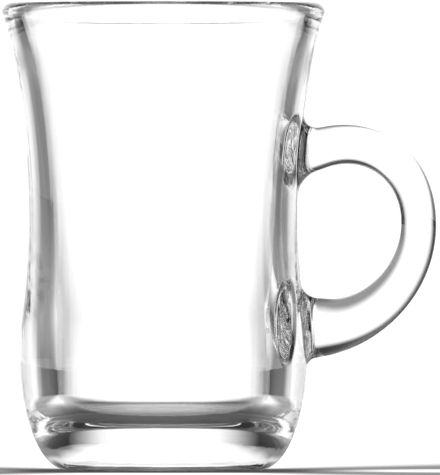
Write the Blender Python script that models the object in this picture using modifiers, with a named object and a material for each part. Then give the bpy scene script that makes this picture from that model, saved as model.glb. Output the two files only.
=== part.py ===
"""Turkish tea glass with a looped handle: thick clear pressed glass, empty, standing on its flat foot.

Metres, +Z up. The origin is the centre of the foot, on the plane that the glass rests on, and the handle
reaches out towards +X. Body and handle are pressed in one go, so they are one solid.
"""

import math

import bmesh
import bpy
from mathutils import Vector
from mathutils.geometry import interpolate_bezier

MM = 0.001

# Whole glass
HEIGHT = 105.0 * MM
TURN_STEPS = 64

# Outer wall, from the rim in to the waist and out again to the belly
RIM_EDGE = (36.28 * MM, 102.5 * MM)
RIM_EDGE_PULL = (32.58 * MM, 92.9 * MM)
WAIST_PULL = (27.82 * MM, 62.4 * MM)
SHOULDER = (31.84 * MM, 34.0 * MM)
SHOULDER_PULL = (32.19 * MM, 31.5 * MM)
BELLY_PULL_RISE = 3.6 * MM
WALL_POINTS = 15
SHOULDER_POINTS = 4

# Heel, a quarter of an ellipse between the belly and the foot
BELLY_RADIUS = 32.27 * MM
BELLY_HEIGHT = 25.0 * MM
FOOT_RADIUS = 21.6 * MM
HEEL_POINTS = 10

# Rim, rounded over between the two walls
RIM_TOP_RADIUS = 34.2 * MM
RIM_OUTER_PULLS = ((36.62 * MM, 103.4 * MM), (35.5 * MM, HEIGHT))
RIM_INNER_PULLS = ((33.0 * MM, HEIGHT), (32.0 * MM, 103.8 * MM))
RIM_POINTS = 4

# Inner wall, a plain taper that the plunger leaves, and the bowl-shaped bottom below it
MOUTH_EDGE = (31.81 * MM, 102.5 * MM)
MOUTH_PULL = (29.43 * MM, 86.6 * MM)
BORE_PULL = (25.3 * MM, 94.1 * MM)
BORE_FOOT = (23.62 * MM, 18.2 * MM)
FLOOR_HEIGHT = 11.0 * MM
FLOOR_RADIUS = 16.4 * MM
BORE_POINTS = 12
BOWL_POINTS = 7

# Handle: its outer and inner edge in the XZ plane, each as an upper and a lower Bezier curve, in millimetres
OUTER_EDGE = (
    ((36.5, 77.26), (49.53, 79.51), (61.31, 70.67), (61.31, 55.2)),
    ((61.31, 55.2), (61.31, 38.91), (48.23, 27.85), (36.8, 25.63)),
)
INNER_EDGE = (
    ((36.5, 67.79), (45.37, 70.97), (53.31, 64.93), (53.31, 55.62)),
    ((53.31, 55.62), (53.31, 45.89), (44.63, 38.04), (36.8, 38.54)),
)
HANDLE_STEPS = 16
HALF_DEPTHS = (4.9 * MM, 4.7 * MM, 5.4 * MM)
SQUARENESS = (3.0, 3.0, 2.2)
HANDLE_SIDES = 24

# Roots: the fillet between the handle and the body, at the loop's outer edge, its inner edge and its sides
TOP_ROOT_FILLETS = (3.8 * MM, 4.0 * MM, 2.8 * MM)
BOTTOM_ROOT_FILLETS = (1.8 * MM, 3.3 * MM, 2.8 * MM)
FILLET_STEPS = 6
FILLET_START = 0.14
ARC_PULL = 0.55
ROOT_DEPTH = 2.4 * MM


def clear_scene():
    for old in list(bpy.data.objects):
        bpy.data.objects.remove(old, do_unlink=True)


def clear_glass():
    """Soda-lime glass, pressed and fire-polished: colourless, smooth and fully transparent."""
    material = bpy.data.materials.new("clear pressed glass")
    material.use_nodes = True
    shader = material.node_tree.nodes["Principled BSDF"]
    shader.inputs["Base Color"].default_value = (0.97, 0.98, 0.98, 1.0)
    shader.inputs["Roughness"].default_value = 0.02
    shader.inputs["Metallic"].default_value = 0.0
    shader.inputs["IOR"].default_value = 1.52
    shader.inputs["Transmission Weight"].default_value = 1.0
    return material


def sweep(start, start_pull, end_pull, end, points):
    """Points (radius, height) of a Bezier curve, its end left out for the next stretch to give."""
    knots = [Vector((radius, height, 0.0)) for radius, height in (start, start_pull, end_pull, end)]
    return [(point.x, point.y) for point in interpolate_bezier(*knots, points + 1)[:-1]]


def outer_profile():
    """The outer wall from the rim's edge down to the edge of the foot."""
    belly = (BELLY_RADIUS, BELLY_HEIGHT)
    belly_pull = (BELLY_RADIUS, BELLY_HEIGHT + BELLY_PULL_RISE)
    points = sweep(RIM_EDGE, RIM_EDGE_PULL, WAIST_PULL, SHOULDER, WALL_POINTS)
    points += sweep(SHOULDER, SHOULDER_PULL, belly_pull, belly, SHOULDER_POINTS)
    for step in range(HEEL_POINTS + 1):
        turn = math.pi / 2 * step / HEEL_POINTS
        radius = FOOT_RADIUS + (BELLY_RADIUS - FOOT_RADIUS) * math.cos(turn)
        points.append((radius, BELLY_HEIGHT * (1.0 - math.sin(turn))))
    return points


def bowl_profile():
    """The inside from the middle of the floor, round the bowl-shaped corner, up to the mouth's edge."""
    points = [(0.0, FLOOR_HEIGHT)]
    for step in range(BOWL_POINTS):
        turn = math.pi / 2 * step / BOWL_POINTS
        radius = FLOOR_RADIUS + (BORE_FOOT[0] - FLOOR_RADIUS) * math.sin(turn)
        points.append((radius, FLOOR_HEIGHT + (BORE_FOOT[1] - FLOOR_HEIGHT) * (1.0 - math.cos(turn))))
    return points + sweep(BORE_FOOT, BORE_PULL, MOUTH_PULL, MOUTH_EDGE, BORE_POINTS)


def body_profile():
    """Up the inside, over the rim and down the outside to the middle of the foot."""
    rim_top = (RIM_TOP_RADIUS, HEIGHT)
    rim_in = sweep(MOUTH_EDGE, *reversed(RIM_INNER_PULLS), rim_top, RIM_POINTS)
    rim_out = sweep(rim_top, *reversed(RIM_OUTER_PULLS), RIM_EDGE, RIM_POINTS)
    return bowl_profile() + rim_in + rim_out + outer_profile() + [(0.0, 0.0)]


def wall_radius(height):
    """The outer wall's radius at this height, read along the straight pieces of its outline."""
    outline = outer_profile()
    for (upper_radius, upper), (lower_radius, lower) in zip(outline, outline[1:]):
        if lower <= height <= upper:
            share = (height - lower) / (upper - lower)
            return lower_radius + share * (upper_radius - lower_radius)
    raise ValueError("height is off the wall")


def on_wall(point):
    """The point moved level, straight out from or in towards the axis, onto the outer wall."""
    stretch = wall_radius(point.z) / math.hypot(point.x, point.y)
    return Vector((point.x * stretch, point.y * stretch, point.z))


def wall_normal(point):
    """The wall's outward direction at a point of the wall."""
    step = 0.5 * MM
    slope = (wall_radius(point.z + step) - wall_radius(point.z - step)) / (2 * step)
    return Vector((point.x, point.y, -slope * math.hypot(point.x, point.y))).normalized()


def mesh_object(name, mesh, collection, material):
    obj = bpy.data.objects.new(name, mesh)
    collection.objects.link(obj)
    mesh.materials.append(material)
    return obj


def turned_body(collection, material):
    """Body, rim and bowl as one outline turned about the glass's axis."""
    points = [(radius, 0.0, height) for radius, height in body_profile()]
    mesh = bpy.data.meshes.new("tea_glass")
    mesh.from_pydata(points, [(i, i + 1) for i in range(len(points) - 1)], [])
    body = mesh_object("tea_glass", mesh, collection, material)
    screw = body.modifiers.new("turn", "SCREW")
    screw.axis = "Z"
    screw.steps = TURN_STEPS
    screw.render_steps = TURN_STEPS
    screw.use_merge_vertices = True
    screw.merge_threshold = 0.00001
    screw.use_smooth_shade = True
    return body


def between(values, span, share):
    """A value carried smoothly from one knot to the next."""
    ease = share * share * (3.0 - 2.0 * share)
    return values[span] + (values[span + 1] - values[span]) * ease


def along_bezier(knots, share):
    """The place and the unscaled direction part of the way along a Bezier curve."""
    rest = 1.0 - share
    place = rest**3 * knots[0] + 3 * rest * rest * share * knots[1]
    place += 3 * rest * share * share * knots[2] + share**3 * knots[3]
    heading = rest * rest * (knots[1] - knots[0]) + 2 * rest * share * (knots[2] - knots[1])
    heading += share * share * (knots[3] - knots[2])
    return place, heading


def edge_point(edge, span, share):
    """The place and the direction of a handle's edge, in metres, within its upper or its lower curve."""
    return along_bezier([Vector((x * MM, 0.0, z * MM)) for x, z in edge[span]], share)


def bulge(value, squareness):
    """A cosine or sine drawn out towards the corners of a flat-sided oval."""
    return math.copysign(abs(value) ** (2.0 / squareness), value)


def handle_section(span, share):
    """One oval across the handle, and the direction in which the handle runs on from each of its points."""
    outer, outer_heading = edge_point(OUTER_EDGE, span, share)
    inner, inner_heading = edge_point(INNER_EDGE, span, share)
    depth = between(HALF_DEPTHS, span, share)
    squareness = between(SQUARENESS, span, share)
    points, headings = [], []
    for side in range(HANDLE_SIDES):
        turn = 2 * math.pi * side / HANDLE_SIDES
        across = 0.5 + 0.5 * bulge(math.cos(turn), squareness)
        place = inner + across * (outer - inner)
        heading = inner_heading + across * (outer_heading - inner_heading)
        place.y = depth * bulge(math.sin(turn), squareness)
        points.append(place)
        headings.append(heading.normalized())
    return points, headings


def reach_wall(point, heading):
    """Where a straight line from the point meets the outer wall."""
    near, far = 0.0, 12.0 * MM
    for _ in range(30):
        middle = (near + far) / 2
        place = point + middle * heading
        if math.hypot(place.x, place.y) > wall_radius(place.z):
            near = middle
        else:
            far = middle
    return point + near * heading


def root_rings(points, headings, fillets):
    """Rings from inside the wall out along the fillet to the handle, where it leaves the body."""
    outer_fillet, inner_fillet, side_fillet = fillets
    middle = sum(points, Vector()) / len(points)
    rings = [[] for _ in range(FILLET_STEPS + 2)]
    for side, (point, heading) in enumerate(zip(points, headings)):
        turn = 2 * math.pi * side / HANDLE_SIDES
        edge_fillet = outer_fillet if math.cos(turn) > 0 else inner_fillet
        fillet = side_fillet + (edge_fillet - side_fillet) * math.cos(turn) ** 2
        foot = reach_wall(point, heading)
        outward = point - middle
        outward = (outward - outward.project(heading)).normalized()
        start = on_wall(foot + fillet * outward)
        corner = foot - start
        corner = corner - corner.project(wall_normal(start))
        end = foot - fillet * heading
        arc = (start, start + ARC_PULL * corner, end + ARC_PULL * (foot - end), end)
        for step in range(FILLET_STEPS + 1):
            share = FILLET_START + (1.0 - FILLET_START) * step / FILLET_STEPS
            rings[step + 1].append(along_bezier(arc, share)[0])
        first = rings[1][side]
        rings[0].append(on_wall(first) - ROOT_DEPTH * wall_normal(on_wall(first)))
    return rings


def handle_rings():
    """All ovals of the handle, from inside the wall at the top root round to inside it at the bottom root."""
    spans = len(OUTER_EDGE)
    sections = [handle_section(span, step / HANDLE_STEPS) for span in range(spans) for step in range(HANDLE_STEPS)]
    sections.append(handle_section(spans - 1, 1.0))
    top_points, top_headings = sections[0]
    bottom_points, bottom_headings = sections[-1]
    top = root_rings(top_points, [-heading for heading in top_headings], TOP_ROOT_FILLETS)
    bottom = root_rings(bottom_points, bottom_headings, BOTTOM_ROOT_FILLETS)
    return top + [points for points, _ in sections] + bottom[::-1]


def lofted_handle(collection, material):
    """The handle's unlike ovals joined into a closed loft, with a fanned cap at each end inside the wall."""
    shape = bmesh.new()
    rings = [[shape.verts.new(point) for point in ring] for ring in handle_rings()]
    for ring, following in zip(rings, rings[1:]):
        for side in range(HANDLE_SIDES):
            after = (side + 1) % HANDLE_SIDES
            shape.faces.new((ring[side], ring[after], following[after], following[side]))
    for ring in (rings[0], rings[-1]):
        middle = shape.verts.new(sum((vert.co for vert in ring), Vector()) / HANDLE_SIDES)
        for side in range(HANDLE_SIDES):
            shape.faces.new((ring[side], ring[(side + 1) % HANDLE_SIDES], middle))
    bmesh.ops.recalc_face_normals(shape, faces=shape.faces)
    mesh = bpy.data.meshes.new("handle")
    shape.to_mesh(mesh)
    shape.free()
    mesh.shade_smooth()
    handle = mesh_object("handle", mesh, collection, material)
    handle.hide_render = True
    handle.display_type = "WIRE"
    return handle


def pressed_together(body, handle):
    """Joins the handle to the body, since both are one piece of glass."""
    join = body.modifiers.new("handle pressed on", "BOOLEAN")
    join.operation = "UNION"
    join.object = handle


def build():
    clear_scene()
    glass = clear_glass()
    parts = bpy.data.collections.new("tea glass with handle")
    helpers = bpy.data.collections.new("joined shapes")
    for collection in (parts, helpers):
        bpy.context.scene.collection.children.link(collection)
    pressed_together(turned_body(parts, glass), lofted_handle(helpers, glass))


build()
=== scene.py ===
import math

import bpy
import numpy as np
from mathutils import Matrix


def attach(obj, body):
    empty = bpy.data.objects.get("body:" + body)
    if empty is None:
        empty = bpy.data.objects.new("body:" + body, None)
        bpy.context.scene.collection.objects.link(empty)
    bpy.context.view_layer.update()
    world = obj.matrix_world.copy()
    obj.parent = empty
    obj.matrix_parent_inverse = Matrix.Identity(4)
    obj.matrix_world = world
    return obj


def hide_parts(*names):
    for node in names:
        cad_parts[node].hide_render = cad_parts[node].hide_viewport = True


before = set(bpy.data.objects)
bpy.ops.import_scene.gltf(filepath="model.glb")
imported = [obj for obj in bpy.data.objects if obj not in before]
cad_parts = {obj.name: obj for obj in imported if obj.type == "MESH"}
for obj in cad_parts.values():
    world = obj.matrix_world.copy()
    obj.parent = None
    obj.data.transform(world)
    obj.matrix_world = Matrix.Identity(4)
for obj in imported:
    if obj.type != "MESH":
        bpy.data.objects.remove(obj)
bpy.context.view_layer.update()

# Body: a waisted tea glass with a flared mouth and a heavy base. Real ones are soda-lime glass, pressed
# between a mould and a smooth plunger and then fire-polished, so the outside curves in and out, the
# inside is one plain taper down to a flat floor with a round corner, and every edge is rounded.
MM = 0.001
# The glass's sizes are in millimetres, and a pair is a distance from the axis and a height.
GLASS_HEIGHT = 105.0
RIM_TOP = (34.2, GLASS_HEIGHT)
RIM_OUTSIDE = (RIM_TOP, (35.5, GLASS_HEIGHT), (36.62, 103.4), (36.28, 102.5))
RIM_INSIDE = ((31.81, 102.5), (32.0, 103.8), (33.0, GLASS_HEIGHT), RIM_TOP)
FLARE_AND_WAIST = ((36.28, 102.5), (32.58, 92.9), (27.82, 62.4), (31.84, 34.0))
BELLY = (32.27, 25.0)
SHOULDER = ((31.84, 34.0), (32.19, 31.5), (BELLY[0], 28.6), BELLY)
FOOT_RADIUS = 21.6
FLOOR_RADIUS = 16.4
FLOOR_HEIGHT = 11.0
BORE_FOOT = (23.62, 18.2)
BORE = (BORE_FOOT, (25.3, 94.1), (29.43, 86.6), (31.81, 102.5))
TURN_COLUMNS = 216
WALL_SPACING = 0.8
EDGE_SPACING = 0.45
RIM_SPACING = 0.225
DISC_HOLE = 0.02
FINE_STEPS = 400


def bezier(knots, share):
    """Cubic Bezier: each of the four knots times its Bernstein weight, at every share from 0 to 1."""
    knots = np.asarray(knots, float)
    share = np.asarray(share, float)[..., None]
    rest = 1.0 - share
    ends = rest**3 * knots[0] + share**3 * knots[3]
    return ends + 3.0 * rest * share * (rest * knots[1] + share * knots[2])


def quarter_oval(middle, reach, start, stop, share):
    """Part of an ellipse: the middle plus the two reaches times the sine and cosine of a turning angle."""
    turn = np.radians(start + (stop - start) * share)
    return np.stack([middle[0] + reach[0] * np.sin(turn), middle[1] - reach[1] * np.cos(turn)], -1)


def evenly(outline, spacing):
    """The outline's points moved along it, so that neighbours lie one spacing apart."""
    run = np.concatenate([[0.0], np.cumsum(np.hypot(*np.diff(outline, axis=0).T))])
    places = np.linspace(0.0, run[-1], max(2, round(run[-1] / spacing) + 1))
    return np.stack([np.interp(places, run, outline[:, 0]), np.interp(places, run, outline[:, 1])], -1)


fine = np.linspace(0.0, 1.0, FINE_STEPS)
corner_reach = (BORE_FOOT[0] - FLOOR_RADIUS, BORE_FOOT[1] - FLOOR_HEIGHT)
floor_corner = quarter_oval((FLOOR_RADIUS, BORE_FOOT[1]), corner_reach, 0, 90, fine)
heel = quarter_oval((FOOT_RADIUS, BELLY[1]), (BELLY[0] - FOOT_RADIUS, BELLY[1]), 90, 0, fine)
outer_wall = np.concatenate([bezier(FLARE_AND_WAIST, fine), bezier(SHOULDER, fine)[1:], heel[1:]])
floor_disc = np.array([(FLOOR_RADIUS * DISC_HOLE, FLOOR_HEIGHT), (FLOOR_RADIUS, FLOOR_HEIGHT)])
foot_disc = np.array([(FOOT_RADIUS, 0.0), (FOOT_RADIUS * DISC_HOLE, 0.0)])
floor_to_rim = [
    evenly(floor_disc, WALL_SPACING),
    evenly(floor_corner, EDGE_SPACING)[1:],
    evenly(bezier(BORE, fine), WALL_SPACING)[1:],
    evenly(bezier(RIM_INSIDE, fine), RIM_SPACING)[1:],
    evenly(bezier(RIM_OUTSIDE, fine), RIM_SPACING)[1:],
]
outside = evenly(outer_wall, WALL_SPACING)[1:]
outline = np.concatenate([*floor_to_rim, outside, evenly(foot_disc, WALL_SPACING)[1:]])
first_wall_row = len(np.concatenate(floor_to_rim))
body_turn = np.radians(360.0 * (np.arange(TURN_COLUMNS) - TURN_COLUMNS // 2) / TURN_COLUMNS)


def turned(outline, turn):
    """Surface of revolution: radius times the cosine and sine of the turn, at the outline's height."""
    radius, height = outline[:, :1], outline[:, 1:]
    return np.stack([radius * np.cos(turn), radius * np.sin(turn), height + 0.0 * turn], -1)


body_points = turned(outline, body_turn)
body_number = np.arange(len(outline) * TURN_COLUMNS).reshape(len(outline), TURN_COLUMNS)

# Handle: one flat-sided bar bent into a D-shaped loop, thin at its far side and deeper and rounder towards
# the lower root. It is pressed in the same mould as the body, so each root flows into the wall through a
# fillet with no seam, and its surface here starts from an opening left in the body's own grid.
OUTER_EDGE = (
    ((36.5, 77.26), (49.53, 79.51), (61.31, 70.67), (61.31, 55.2)),
    ((61.31, 55.2), (61.31, 38.91), (48.23, 27.85), (36.8, 25.63)),
)
INNER_EDGE = (
    ((36.5, 67.79), (45.37, 70.97), (53.31, 64.93), (53.31, 55.62)),
    ((53.31, 55.62), (53.31, 45.89), (44.63, 38.04), (36.8, 38.54)),
)
# At the top root, the far side and the bottom root.
HALF_DEPTHS = (4.9, 4.7, 5.4)
SQUARENESS = (3.0, 3.0, 2.2)
# At the loop's outer edge, at its inner edge and at the bar's sides.
TOP_FILLETS = (3.8, 4.0, 2.8)
BOTTOM_FILLETS = (1.8, 3.3, 2.8)
ARC_PULL = 0.55
OPENING_HALF_COLUMNS = 13
OPENING_ROWS = 36
TOP_OPENING_HEIGHT = 85.5
BOTTOM_OPENING_HEIGHT = 47.0
LOOP_RINGS = 46
STRAIGHT_RINGS = 5
FILLET_RINGS = 12
WALL_RINGS = 10
RING_CROWDING = 0.6
SLOPE_STEP = 0.2
HEADING_STEP = 0.002
LONGEST_RUN = 12.0
HALVINGS = 40


def wall_radius(height):
    """The outer wall's radius, read off its outline at these heights."""
    return np.interp(height, outer_wall[::-1, 1], outer_wall[::-1, 0])


def on_wall(points):
    """Points moved level, straight towards or away from the axis, until they lie on the outer wall."""
    stretch = wall_radius(points[..., 2]) / np.hypot(points[..., 0], points[..., 1])
    return points * np.stack([stretch, stretch, np.ones_like(stretch)], -1)


def wall_outward(points):
    """Unit normals of the wall: level and outwards, tipped back by the slope of its outline."""
    height = points[..., 2]
    slope = (wall_radius(height + SLOPE_STEP) - wall_radius(height - SLOPE_STEP)) / (2.0 * SLOPE_STEP)
    tipped = np.stack([points[..., 0], points[..., 1], -slope * np.hypot(points[..., 0], points[..., 1])], -1)
    return tipped / np.linalg.norm(tipped, axis=-1, keepdims=True)


def eased(values, span, share):
    """From one knot's value to the next one's, by three times the share squared less twice it cubed."""
    return values[span] + (values[span + 1] - values[span]) * share * share * (3.0 - 2.0 * share)


def bar_section(span, share, around):
    """Flat-sided oval across the bar, set between its two edges.

    Its reach is |cosine| / half width and |sine| / half depth, each to the power of the squareness, added up
    and taken to the power of minus one over the squareness.
    """
    outer, inner = bezier(OUTER_EDGE[span], share), bezier(INNER_EDGE[span], share)
    depth, squareness = eased(HALF_DEPTHS, span, share), eased(SQUARENESS, span, share)
    half_width = np.hypot(*np.moveaxis(outer - inner, -1, 0)) / 2.0
    across_part = (np.abs(np.cos(around)) / half_width) ** squareness
    depth_part = (np.abs(np.sin(around)) / depth) ** squareness
    reach = (across_part + depth_part) ** (-1.0 / squareness)
    across = (0.5 + 0.5 * np.cos(around) * reach / half_width)[..., None]
    level = inner + across * (outer - inner)
    return np.stack([level[..., 0], np.sin(around) * reach, level[..., 1]], -1)


def root(span, share, inwards, around, fillets):
    """The bar's end ring and the rings of its fillet.

    The bar's lines run straight on to the wall, where they end is found by halving the distance, and a
    cubic Bezier arc leads from the wall to each line.
    """
    points = bar_section(span, share, around)
    heading = points - bar_section(span, share - HEADING_STEP * inwards, around)
    heading /= np.linalg.norm(heading, axis=-1, keepdims=True)
    near, far = np.zeros(len(around)), np.full(len(around), LONGEST_RUN)
    for _ in range(HALVINGS):
        middle = (near + far) / 2.0
        place = points + middle[:, None] * heading
        outside_wall = np.hypot(place[:, 0], place[:, 1]) > wall_radius(place[:, 2])
        near, far = np.where(outside_wall, middle, near), np.where(outside_wall, far, middle)
    feet = points + near[:, None] * heading
    edge_fillet = np.where(np.cos(around) > 0.0, fillets[0], fillets[1])
    fillet = (fillets[2] + (edge_fillet - fillets[2]) * np.cos(around) ** 2)[:, None]
    outward = points - points.mean(axis=0)
    outward -= (outward * heading).sum(-1, keepdims=True) * heading
    outward /= np.linalg.norm(outward, axis=-1, keepdims=True)
    start = on_wall(feet + fillet * outward)
    corner = feet - start
    normal = wall_outward(start)
    corner -= (corner * normal).sum(-1, keepdims=True) * normal
    end = feet - fillet * heading
    arc = np.stack([start, start + ARC_PULL * corner, end + ARC_PULL * (feet - end), end])
    return points, bezier(arc, np.linspace(0.0, 1.0, FILLET_RINGS + 1)[:, None] + 0.0 * around)


def opening(top_height, outer_edge_up):
    """Grid numbers round a window in the outer wall, from its left corner at the loop's outer edge, and the
    rows and columns of the faces in it.
    """
    top = first_wall_row + int(np.argmin(np.abs(outside[:, 1] - top_height)))
    bottom = top + OPENING_ROWS
    left = TURN_COLUMNS // 2 - OPENING_HALF_COLUMNS
    right = TURN_COLUMNS // 2 + OPENING_HALF_COLUMNS
    window = body_number[top : bottom + 1, left : right + 1]
    window = window if outer_edge_up else window[::-1]
    around = np.concatenate([window[0, :-1], window[:-1, -1], window[-1, :0:-1], window[:0:-1, 0]])
    return around, (slice(top, bottom), slice(left, right))


def direction_round(points, middle, upward):
    """Each point's angle about the root's middle on the unrolled wall, from the outer edge towards +Y."""
    along = wall_radius(middle[2]) * np.arctan2(points[:, 1], points[:, 0])
    up = upward * (points[:, 2] - middle[2])
    return np.unwrap(np.arctan2(along, up))


flat_body = body_points.reshape(-1, 3)
top_loop, top_faces = opening(TOP_OPENING_HEIGHT, True)
bottom_loop, bottom_faces = opening(BOTTOM_OPENING_HEIGHT, False)
any_around = np.radians(np.arange(0.0, 360.0, 2.0))
top_middle = root(0, 0.0, -1, any_around, TOP_FILLETS)[1][0].mean(axis=0)
bottom_middle = root(1, 1.0, 1, any_around, BOTTOM_FILLETS)[1][0].mean(axis=0)
top_around = direction_round(flat_body[top_loop], top_middle, 1.0)
bottom_around = direction_round(flat_body[bottom_loop], bottom_middle, -1.0)
top_bar, top_arc = root(0, 0.0, -1, top_around, TOP_FILLETS)
bottom_bar, bottom_arc = root(1, 1.0, 1, bottom_around, BOTTOM_FILLETS)


def across_wall(from_points, to_points):
    """Rings on the wall from a window's edge to a fillet's foot: angle and height in shrinking steps."""
    share = np.linspace(0.0, 1.0, WALL_RINGS + 1)[1:-1, None]
    share = share * (1.0 + RING_CROWDING - RING_CROWDING * share)
    turn = np.arctan2(from_points[:, 1], from_points[:, 0]) * (1.0 - share)
    turn = turn + np.arctan2(to_points[:, 1], to_points[:, 0]) * share
    height = from_points[:, 2] * (1.0 - share) + to_points[:, 2] * share
    return np.stack([wall_radius(height) * np.cos(turn), wall_radius(height) * np.sin(turn), height], -1)


def straight(from_points, to_points):
    """Rings in even steps along the straight lines between two rings."""
    share = np.linspace(0.0, 1.0, STRAIGHT_RINGS + 1)[1:-1, None, None]
    return from_points * (1.0 - share) + to_points * share


loop_share = np.linspace(0.0, 1.0, LOOP_RINGS + 1)[:, None]
half_way = (top_around + bottom_around) / 2.0
upper_loop = bar_section(0, loop_share, top_around + (half_way - top_around) * loop_share)
lower_loop = bar_section(1, loop_share, half_way + (bottom_around - half_way) * loop_share)
handle_rings = np.concatenate([
    across_wall(flat_body[top_loop], top_arc[0]),
    top_arc,
    straight(top_arc[-1], top_bar),
    upper_loop,
    lower_loop[1:],
    straight(bottom_bar, bottom_arc[-1]),
    bottom_arc[::-1],
    across_wall(flat_body[bottom_loop], bottom_arc[0])[::-1],
])

# One piece of glass: body and handle share the points round each opening, and the two discs close at their
# middles. So the skin is one closed surface with nothing inside it, as on the real piece.
ring_size = len(top_loop)
handle_count = len(handle_rings) * ring_size
handle_number = len(flat_body) + np.arange(handle_count).reshape(len(handle_rings), ring_size)
handle_number = np.concatenate([top_loop[None], handle_number, bottom_loop[None]])
floor_middle = len(flat_body) + handle_count
foot_middle = floor_middle + 1


def squares(number):
    """Four-sided faces between neighbours of a grid whose last column joins its first."""
    after = np.roll(number, -1, axis=1)
    return np.stack([number[:-1], number[1:], after[1:], after[:-1]], -1)


body_squares = squares(body_number)
kept = np.ones(body_squares.shape[:2], bool)
kept[top_faces] = False
kept[bottom_faces] = False
all_squares = np.concatenate([body_squares[kept], squares(handle_number).reshape(-1, 4)])
middles = np.array([[0.0, 0.0, FLOOR_HEIGHT], [0.0, 0.0, 0.0]])
all_points = np.concatenate([flat_body, handle_rings.reshape(-1, 3), middles]) * MM
floor_fan = np.stack([np.roll(body_number[0], -1), np.full(TURN_COLUMNS, floor_middle), body_number[0]], -1)
foot_fan = np.stack([body_number[-1], np.full(TURN_COLUMNS, foot_middle), np.roll(body_number[-1], -1)], -1)
fans = np.concatenate([floor_fan, foot_fan])
used = np.unique(np.concatenate([all_squares.ravel(), fans.ravel()]))
renumber = np.zeros(len(all_points), int)
renumber[used] = np.arange(len(used))
glass_mesh = bpy.data.meshes.new("tea_glass_clear")
glass_mesh.from_pydata(all_points[used], [], renumber[all_squares].tolist() + renumber[fans].tolist())
glass_mesh.shade_smooth()
tea_glass = bpy.data.objects.new("tea_glass_clear", glass_mesh)
bpy.context.scene.collection.objects.link(tea_glass)


def linear(colour):
    """An sRGB hex colour as linear red, green, blue and full alpha."""
    parts = np.array([int(colour[i : i + 2], 16) for i in (0, 2, 4)]) / 255.0
    parts = np.where(parts <= 0.04045, parts / 12.92, ((parts + 0.055) / 1.055) ** 2.4)
    return (*parts.tolist(), 1.0)


def add_node(tree, kind, settings, links):
    """Adds a node, sets its properties and unlinked inputs, and links other nodes' outputs to its inputs."""
    node = tree.nodes.new(kind)
    for name, value in settings.items():
        if isinstance(name, int) or name in node.inputs.keys():
            node.inputs[name].default_value = value
        else:
            setattr(node, name, value)
    for name, output in links.items():
        tree.links.new(output, node.inputs[name])
    return node


# Clear pressed soda-lime glass: colourless, refractive index 1.52 and mirror-smooth after fire-polishing. The
# mould's chill leaves it faintly wavy, in upright streaks that fray the dark edges of the wall.
STREAK_WIDTH = 4.0 * MM
STREAK_LENGTH = 60.0 * MM
STREAK_DEPTH = 0.04 * MM
pressed_glass = bpy.data.materials.new("clear pressed soda-lime glass")
pressed_glass.use_nodes = True
tree = pressed_glass.node_tree
shader = tree.nodes["Principled BSDF"]
shader.inputs["Base Color"].default_value = linear("ffffff")
shader.inputs["Roughness"].default_value = 0.0
shader.inputs["IOR"].default_value = 1.52
shader.inputs["Transmission Weight"].default_value = 1.0
streak_scale = (1.0 / STREAK_WIDTH, 1.0 / STREAK_WIDTH, 1.0 / STREAK_LENGTH)
glass_place = add_node(tree, "ShaderNodeTexCoord", {}, {}).outputs["Object"]
stretched = add_node(tree, "ShaderNodeMapping", {"Scale": streak_scale}, {"Vector": glass_place})
streak_look = {"Scale": 1.0, "Detail": 2.0, "Roughness": 0.4}
streaks = add_node(tree, "ShaderNodeTexNoise", streak_look, {"Vector": stretched.outputs["Vector"]})
wave_look = {"Strength": 1.0, "Distance": STREAK_DEPTH}
wavy = add_node(tree, "ShaderNodeBump", wave_look, {"Height": streaks.outputs[0]})
tree.links.new(wavy.outputs["Normal"], shader.inputs["Normal"])
glass_mesh.materials.append(pressed_glass)

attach(tea_glass, "root")
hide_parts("tea_glass")

# Studio: a matt white table under soft white panels, a wide one behind and narrower ones at both sides and
# in front. The darker gaps between them draw the glass's dark edges. The table's glow is painted light in
# place of the light each panel throws on it: painted pools of light on the axes, painted shade between them
# and a painted shadow round the foot, so the paint under it is only grey.
TABLE_RADIUS = 3.0
TABLE_SIDES = 96
TABLE_GAP = 0.0002
# Glow levels of the table's painted light: a painted shadow round the foot, painted shade in the gaps, and
# where the painted pools begin.
FOOT_SHADE = 0.05
GAP_GLOW = 0.27
FAR_GAP_GLOW = 0.15
FAR_GAP_START = (0.15, 0.5)
POOL_START = (0.028, 0.06)
BACK_LEVEL = 1.2
SIDE_LEVEL = 1.05
FRONT_LEVEL = 0.9
GAP_LEVEL = 0.02
OVERHEAD_LEVEL = 0.25
# Where each panel starts and ends its fade, in degrees from its middle, or up from the horizon.
BACK_EDGE = (13.0, 37.0)
SIDE_EDGE = (8.0, 26.0)
FRONT_EDGE = (35.0, 75.0)
PANEL_TOP = (18.0, 32.0)
OVERHEAD_EDGE = (50.0, 75.0)
table_turn = np.linspace(0.0, 2.0 * math.pi, TABLE_SIDES, endpoint=False)
table_ring = TABLE_RADIUS * np.stack([np.cos(table_turn), np.sin(table_turn), 0.0 * table_turn], -1)
table_mesh = bpy.data.meshes.new("table_top")
table_mesh.from_pydata(table_ring - (0.0, 0.0, TABLE_GAP), [], [list(range(TABLE_SIDES))])
table_top = bpy.data.objects.new("table_top", table_mesh)
bpy.context.scene.collection.objects.link(table_top)
table_paint = bpy.data.materials.new("matt laminate with painted light")
table_paint.use_nodes = True
table_mesh.materials.append(table_paint)


def parted(values):
    """Node inputs parted into plain numbers and other nodes' outputs."""
    numbers = {name: value for name, value in values.items() if isinstance(value, float)}
    outputs = {name: value for name, value in values.items() if not isinstance(value, float)}
    return numbers, outputs


def maths(tree, operation, *values):
    """One arithmetic node; each value is a plain number or another node's output."""
    numbers, outputs = parted(dict(enumerate(values)))
    return add_node(tree, "ShaderNodeMath", {"operation": operation, **numbers}, outputs).outputs[0]


def faded(tree, value, limits, near, far):
    """From the near level below the first limit to the far one above the second, by a smooth step."""
    settings = {"interpolation_type": "SMOOTHSTEP", "From Min": limits[0], "From Max": limits[1]}
    numbers, outputs = parted({"Value": value, "To Min": near, "To Max": far})
    return add_node(tree, "ShaderNodeMapRange", {**settings, **numbers}, outputs).outputs["Result"]


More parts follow.
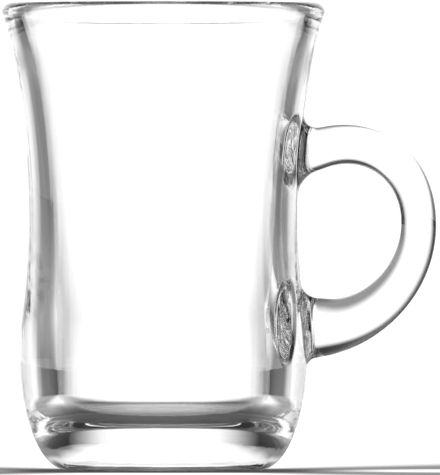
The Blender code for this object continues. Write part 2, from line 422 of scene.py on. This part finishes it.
def radians(limits):
    """Angles in degrees turned into radians, each times pi over 180."""
    return tuple(math.radians(limit) for limit in limits)


paint = table_paint.node_tree
table_shader = paint.nodes["Principled BSDF"]
table_shader.inputs["Base Color"].default_value = linear("808080")
table_shader.inputs["Roughness"].default_value = 0.6
table_shader.inputs["Specular IOR Level"].default_value = 0.0
table_shader.inputs["Emission Color"].default_value = linear("ffffff")
on_table = add_node(paint, "ShaderNodeTexCoord", {}, {}).outputs["Object"]
spot = add_node(paint, "ShaderNodeSeparateXYZ", {}, {0: on_table})
from_foot = add_node(paint, "ShaderNodeVectorMath", {"operation": "LENGTH"}, {0: on_table}).outputs["Value"]
spot_x, spot_y = (maths(paint, "ABSOLUTE", spot.outputs[axis]) for axis in ("X", "Y"))
shorter, longer = (maths(paint, pick, spot_x, spot_y) for pick in ("MINIMUM", "MAXIMUM"))
off_axis = maths(paint, "ARCTAN2", shorter, longer)
# Painted light on the table: pools of light along the axes, painted shade in the gaps between them and a
# painted shadow round the foot.
painted_gap_shade = faded(paint, from_foot, FAR_GAP_START, GAP_GLOW, FAR_GAP_GLOW)
painted_light_pools = faded(paint, off_axis, radians(BACK_EDGE), BACK_LEVEL, painted_gap_shade)
painted_table_light = faded(paint, from_foot, POOL_START, FOOT_SHADE, painted_light_pools)
paint.links.new(painted_table_light, table_shader.inputs["Emission Strength"])

surround = bpy.data.worlds.new("white panels")
surround.use_nodes = True
bpy.context.scene.world = surround
sky = surround.node_tree
background = sky.nodes["Background"]
background.inputs["Color"].default_value = linear("ffffff")
sky_place = add_node(sky, "ShaderNodeTexCoord", {}, {}).outputs["Generated"]
split = add_node(sky, "ShaderNodeSeparateXYZ", {}, {0: sky_place})
aside = maths(sky, "ABSOLUTE", split.outputs["X"])
from_back = maths(sky, "ARCTAN2", aside, split.outputs["Y"])
from_side = maths(sky, "ARCTAN2", maths(sky, "ABSOLUTE", split.outputs["Y"]), aside)
from_front = maths(sky, "SUBTRACT", math.pi, from_back)
lift = maths(sky, "ARCSINE", split.outputs["Z"])
level = faded(sky, from_back, radians(BACK_EDGE), BACK_LEVEL, GAP_LEVEL)
level = maths(sky, "MAXIMUM", level, faded(sky, from_side, radians(SIDE_EDGE), SIDE_LEVEL, GAP_LEVEL))
level = maths(sky, "MAXIMUM", level, faded(sky, from_front, radians(FRONT_EDGE), FRONT_LEVEL, GAP_LEVEL))
level = faded(sky, lift, radians(PANEL_TOP), level, GAP_LEVEL)
level = maths(sky, "ADD", level, faded(sky, lift, radians(OVERHEAD_EDGE), 0.0, OVERHEAD_LEVEL))
sky.links.new(level, background.inputs["Strength"])
bpy.context.scene.view_settings.view_transform = "Standard"

# Light is followed through many faces of the glass, since it turns back inside the handle and the base.
GLASS_BOUNCES = 32
light_paths = bpy.context.scene.cycles
light_paths.max_bounces = GLASS_BOUNCES
light_paths.glossy_bounces = GLASS_BOUNCES
light_paths.transmission_bounces = GLASS_BOUNCES

# Camera: a long lens far off, a little above half the glass's height, which shows the rim as a line.
CAMERA_DISTANCE = 5.5
CAMERA_HEIGHT = 0.06
FRAME_MIDDLE = (0.0127, 0.0522)
FRAME_HEIGHT = 0.10666
SENSOR_HEIGHT = 24.0
eye = bpy.data.cameras.new("long lens")
eye.sensor_fit = "VERTICAL"
eye.sensor_height = SENSOR_HEIGHT
eye.lens = SENSOR_HEIGHT * CAMERA_DISTANCE / FRAME_HEIGHT
eye.clip_end = 100.0
camera = bpy.data.objects.new("long lens", eye)
camera.location = (FRAME_MIDDLE[0], -CAMERA_DISTANCE, CAMERA_HEIGHT)
camera.rotation_euler = (math.pi / 2 - math.atan2(CAMERA_HEIGHT - FRAME_MIDDLE[1], CAMERA_DISTANCE), 0.0, 0.0)
bpy.context.scene.collection.objects.link(camera)
bpy.context.scene.camera = camera
